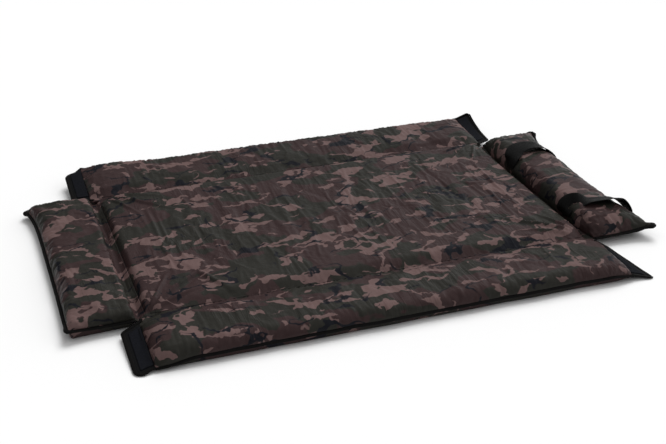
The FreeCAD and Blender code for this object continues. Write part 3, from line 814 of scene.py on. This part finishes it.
def pad_binding(side, sign, shape, material):
    """Tape round the three free edges of an end pad, with a small knot of cloth at each outer corner."""
    edge = PAD_EDGE[side]
    start = PAD_INNER + 2 * MM
    along_end = np.linspace(start, edge, 34)
    along_edge = np.linspace(-PAD_HALF_Y, PAD_HALF_Y, 120)
    plan = [(sign * x, -PAD_HALF_Y) for x in along_end]
    plan += [(sign * edge, y) for y in along_edge[1:-1]]
    plan += [(sign * x, PAD_HALF_Y) for x in along_end[::-1]]
    plan = np.array(plan)
    x, y, top, _ = shape(plan[:, 0], plan[:, 1])
    path = softened(np.stack([x, y, top], -1), 2)
    outward = sideways(path, sign)
    droop = 0.35 + 0.2 * smooth_noise(np.arange(len(path)) / 14.0, np.zeros(len(path)), SEED["pad_tape"])
    corner = np.exp(-((np.abs(y) - PAD_HALF_Y) ** 2 + (np.abs(x) - edge - 9 * MM) ** 2) / (14 * MM) ** 2)
    width, thickness = (8 + 5 * corner) * MM, (2.8 + 6 * corner) * MM
    tape = sweep(f"{side}_pad_tape", path, outward, width, thickness, material, droop)
    finish_piece(tape, f"{side}_end_pad", [f"{side}_pad_binding"])


# Corner tabs

def tab_surface(name, side_x, side_y):
    """A tab's middle surface: u runs from its seam to its tip, v from the fold to the free edge."""
    form = TABS[name]
    low, high = TAB_LOW_Y - 19 * MM, WALL_EDGE_Y - 1 * MM
    radius = form["round"] * MM

    def surface(u, v):
        reach = between(form["reach"], v) * MM
        over = np.clip((v * (high - low) - (high - low - radius)) / radius, 0, 1)
        reach = reach - radius * (1 - np.sqrt(1 - over ** 2))
        drawn = form["drawn"] * MM * u ** 1.5
        y = low + 20 * MM * u + v * (high + drawn - low - 20 * MM * u)
        bend = v ** form["bend"]
        seam, tip = between(form["seam"], bend), between(form["tip"], bend)
        ripple = smooth_noise(u * 1.3, v * 3.1, SEED["tab"] + len(name)) * 1.6 * u * (1 - 0.5 * u)
        z = (seam + (tip - seam) * u ** 1.2 + ripple) * MM
        x = WALL_END_X - 1.5 * MM + u * reach
        return np.stack([side_x * x, side_y * y, np.maximum(z, 1.6 * MM)], -1)
    return surface


def tab(name, side_x, side_y, fabric, pile, tape):
    """A corner tab: backing cloth, a strip of hook pile on its upper face, and bound edges."""
    surface = tab_surface(name, side_x, side_y)

    def plate(piece, u_range, v_range, lift, thickness, material, counts):
        """A thin layer over part of the tab, its top lifted above the middle surface."""
        u, v = np.meshgrid(np.linspace(*u_range, counts[0]), np.linspace(*v_range, counts[1]), indexing="ij")
        place = surface(u, v)[::side_x, ::side_y]
        rim = np.zeros(u.shape, bool)
        rim[[0, -1], :] = True
        rim[:, [0, -1]] = True

        def shape(_x, _y):
            top = place[..., 2] + lift
            top = np.where(rim, top - 0.5 * thickness, top)
            return place[..., 0], place[..., 1], top, np.where(rim, top, top - thickness)
        return cushion(piece, np.arange(counts[0]), np.arange(counts[1]), shape, material)

    body = f"{name}_tab"
    flap = plate(f"{name}_tab_flap", (0, 1), (0, 1), 0.6 * MM, 1.2 * MM, fabric, (20, 48))
    hooks = plate(f"{name}_tab_hooks", (0.05, 0.74), (0.10, 0.95), 1.9 * MM, 1.3 * MM, pile, (18, 44))
    rim = [(u, 0.0) for u in np.linspace(0.0, 1.0, 14)]
    rim += [(1.0, v) for v in np.linspace(0.0, 1.0, 60)[1:-1]]
    rim += [(u, 1.0) for u in np.linspace(1.0, 0.0, 14)]
    rim = np.array(rim)
    path = surface(rim[:, 0], rim[:, 1])
    corner = np.array([side_x * (END_X + 14 * MM), side_y * (FOLD_Y + 5 * MM), 23 * MM])
    if TABS[name]["reach"][0] > 30:
        path = np.concatenate([[corner, 0.5 * (corner + path[0])], path])
    path = softened(path, 3)
    outward = sideways(path, side_x * side_y)
    path = path - 5 * MM * outward / np.linalg.norm(outward, axis=1)[:, None] + [0, 0, 0.6 * MM]
    edging = sweep(f"{name}_tab_tape", path, outward, 9 * MM, 3.0 * MM, tape, 0.06)

    for piece, slot, node in ((flap, "tab_fabric", "fabric"), (hooks, "hook_tape", "hook_strip"),
                              (edging, "binding_tape", "edging")):
        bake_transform(piece)
        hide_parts(f"{body}_{node}")


# Carry straps

# The webbing's middle line in millimetres, with its tilt in degrees: positive lifts its far edge.
STRAPS = {
    "far": [(553, 121, 25, 0), (555, 122, 40, 6), (563, 128, 56, 16), (582, 146, 67, 14), (612, 154, 71, 4),
            (642, 153, 70, 0), (661, 150, 65, -4), (676, 147, 56, -6), (687, 144, 46, -6), (695, 141, 36, -4),
            (699, 140, 26, 0)],
    "near": [(552, -185, 25, 0), (553, -181, 36, 24), (559, -174, 48, 54), (572, -175, 55, 54),
             (587, -187, 61, 18), (604, -196, 65, -9), (626, -202, 67, -15), (649, -206, 68, -17),
             (669, -210, 68, -20), (684, -214, 63, -24), (697, -218, 50, -18), (714, -221, 26, 0)],
}


def curve_through(points, count):
    """Evenly spaced rows on a smooth line through the given ones."""
    points = np.array(points, float)
    padded = np.concatenate([2 * points[:1] - points[1:2], points, 2 * points[-1:] - points[-2:-1]])
    made = []
    for before, start, end, after in zip(padded, padded[1:], padded[2:], padded[3:]):
        for share in np.linspace(0, 1, 24, endpoint=False):
            made.append(0.5 * (2 * start + (end - before) * share
                               + (2 * before - 5 * start + 4 * end - after) * share ** 2
                               + (3 * start - before - 3 * end + after) * share ** 3))
    made = np.array(made + [points[-1]])
    run = np.concatenate([[0], np.cumsum(np.linalg.norm(np.diff(made[:, :3], axis=0), axis=1))])
    even = np.linspace(0, run[-1], count)
    return np.stack([np.interp(even, run, made[:, axis]) for axis in range(made.shape[1])], -1)


def strap(side, material):
    """A webbing handle, sewn in at both ends, that arches over the right end pad."""
    rows = curve_through(STRAPS[side], 100)
    path, tilt = rows[:, :3] * MM, np.radians(rows[:, 3])
    along, across = square_to(path, np.stack([0 * tilt, np.cos(tilt), np.sin(tilt)], -1))
    face = np.cross(along, across)
    share = np.linspace(0, 1, len(path))
    half_width = 24 * MM * (0.75 + 0.25 * smooth(np.minimum(share, 1 - share), 0.10))
    sections = []
    for height, order in ((0.9 * MM, 1), (-0.9 * MM, -1)):
        for place in np.linspace(-1, 1, 11)[::order]:
            cup = 1.6 * MM * place ** 2 * np.sin(math.pi * share)
            round_off = 0.35 if abs(place) == 1 else 1.0
            sections.append(path + across * (place * half_width)[:, None]
                            + face * (height * round_off + cup)[:, None])
    piece = tube(f"{side}_strap", sections, material)
    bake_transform(piece)
    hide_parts(f"{side}_carry_strap")


# Stitches and loop patches, which keep their CAD shapes

def finish_nodes():
    """Thread and loop pile for the CAD parts that stay."""
    thread = dark_textile("sewing_thread", linear(12, 12, 13), 2200.0, 0.2 * MM, 0.55)
    pile = dark_textile("loop_pile", linear(11, 11, 12), 1100.0, 0.8 * MM, 0.9)
    for name, thing in frame["nodes"].items():
        if name.endswith("stitching"):
            thing.material_slots[0].material = thread
        elif name.endswith("loop_patches"):
            thing.material_slots[0].material = pile


# Whole scene

camera()
studio()
camo = camo_fabric("camo_print")
black_tape = dark_textile("black_tape", linear(10, 9, 9), 900.0, 0.4 * MM, 0.62)
hook_pile = dark_textile("hook_pile", linear(19, 20, 24), 1400.0, 0.9 * MM, 0.85)
tab_cloth = dark_textile("tab_cloth", linear(14, 14, 15), 700.0, 0.3 * MM, 0.7)
strap_web = webbing("strap_web", linear(6, 6, 6), 180.0)
finish_nodes()

base(camo)
for wall_side, wall_sign in (("near", -1), ("far", 1)):
    wall(wall_side, wall_sign, camo)
    wall_binding(wall_side, wall_sign, black_tape)
for pad_side, pad_sign in (("left", -1), ("right", 1)):
    outline = end_pad(pad_side, pad_sign, camo)
    pad_binding(pad_side, pad_sign, outline, black_tape)
    fold_strip(pad_side, pad_sign, camo)
for tab_y, tab_side_y in (("near", -1), ("far", 1)):
    for tab_x, tab_side_x in (("left", -1), ("right", 1)):
        tab(f"{tab_y}_{tab_x}", tab_side_x, tab_side_y, tab_cloth, hook_pile, black_tape)
for strap_side in ("near", "far"):
    strap(strap_side, strap_web)
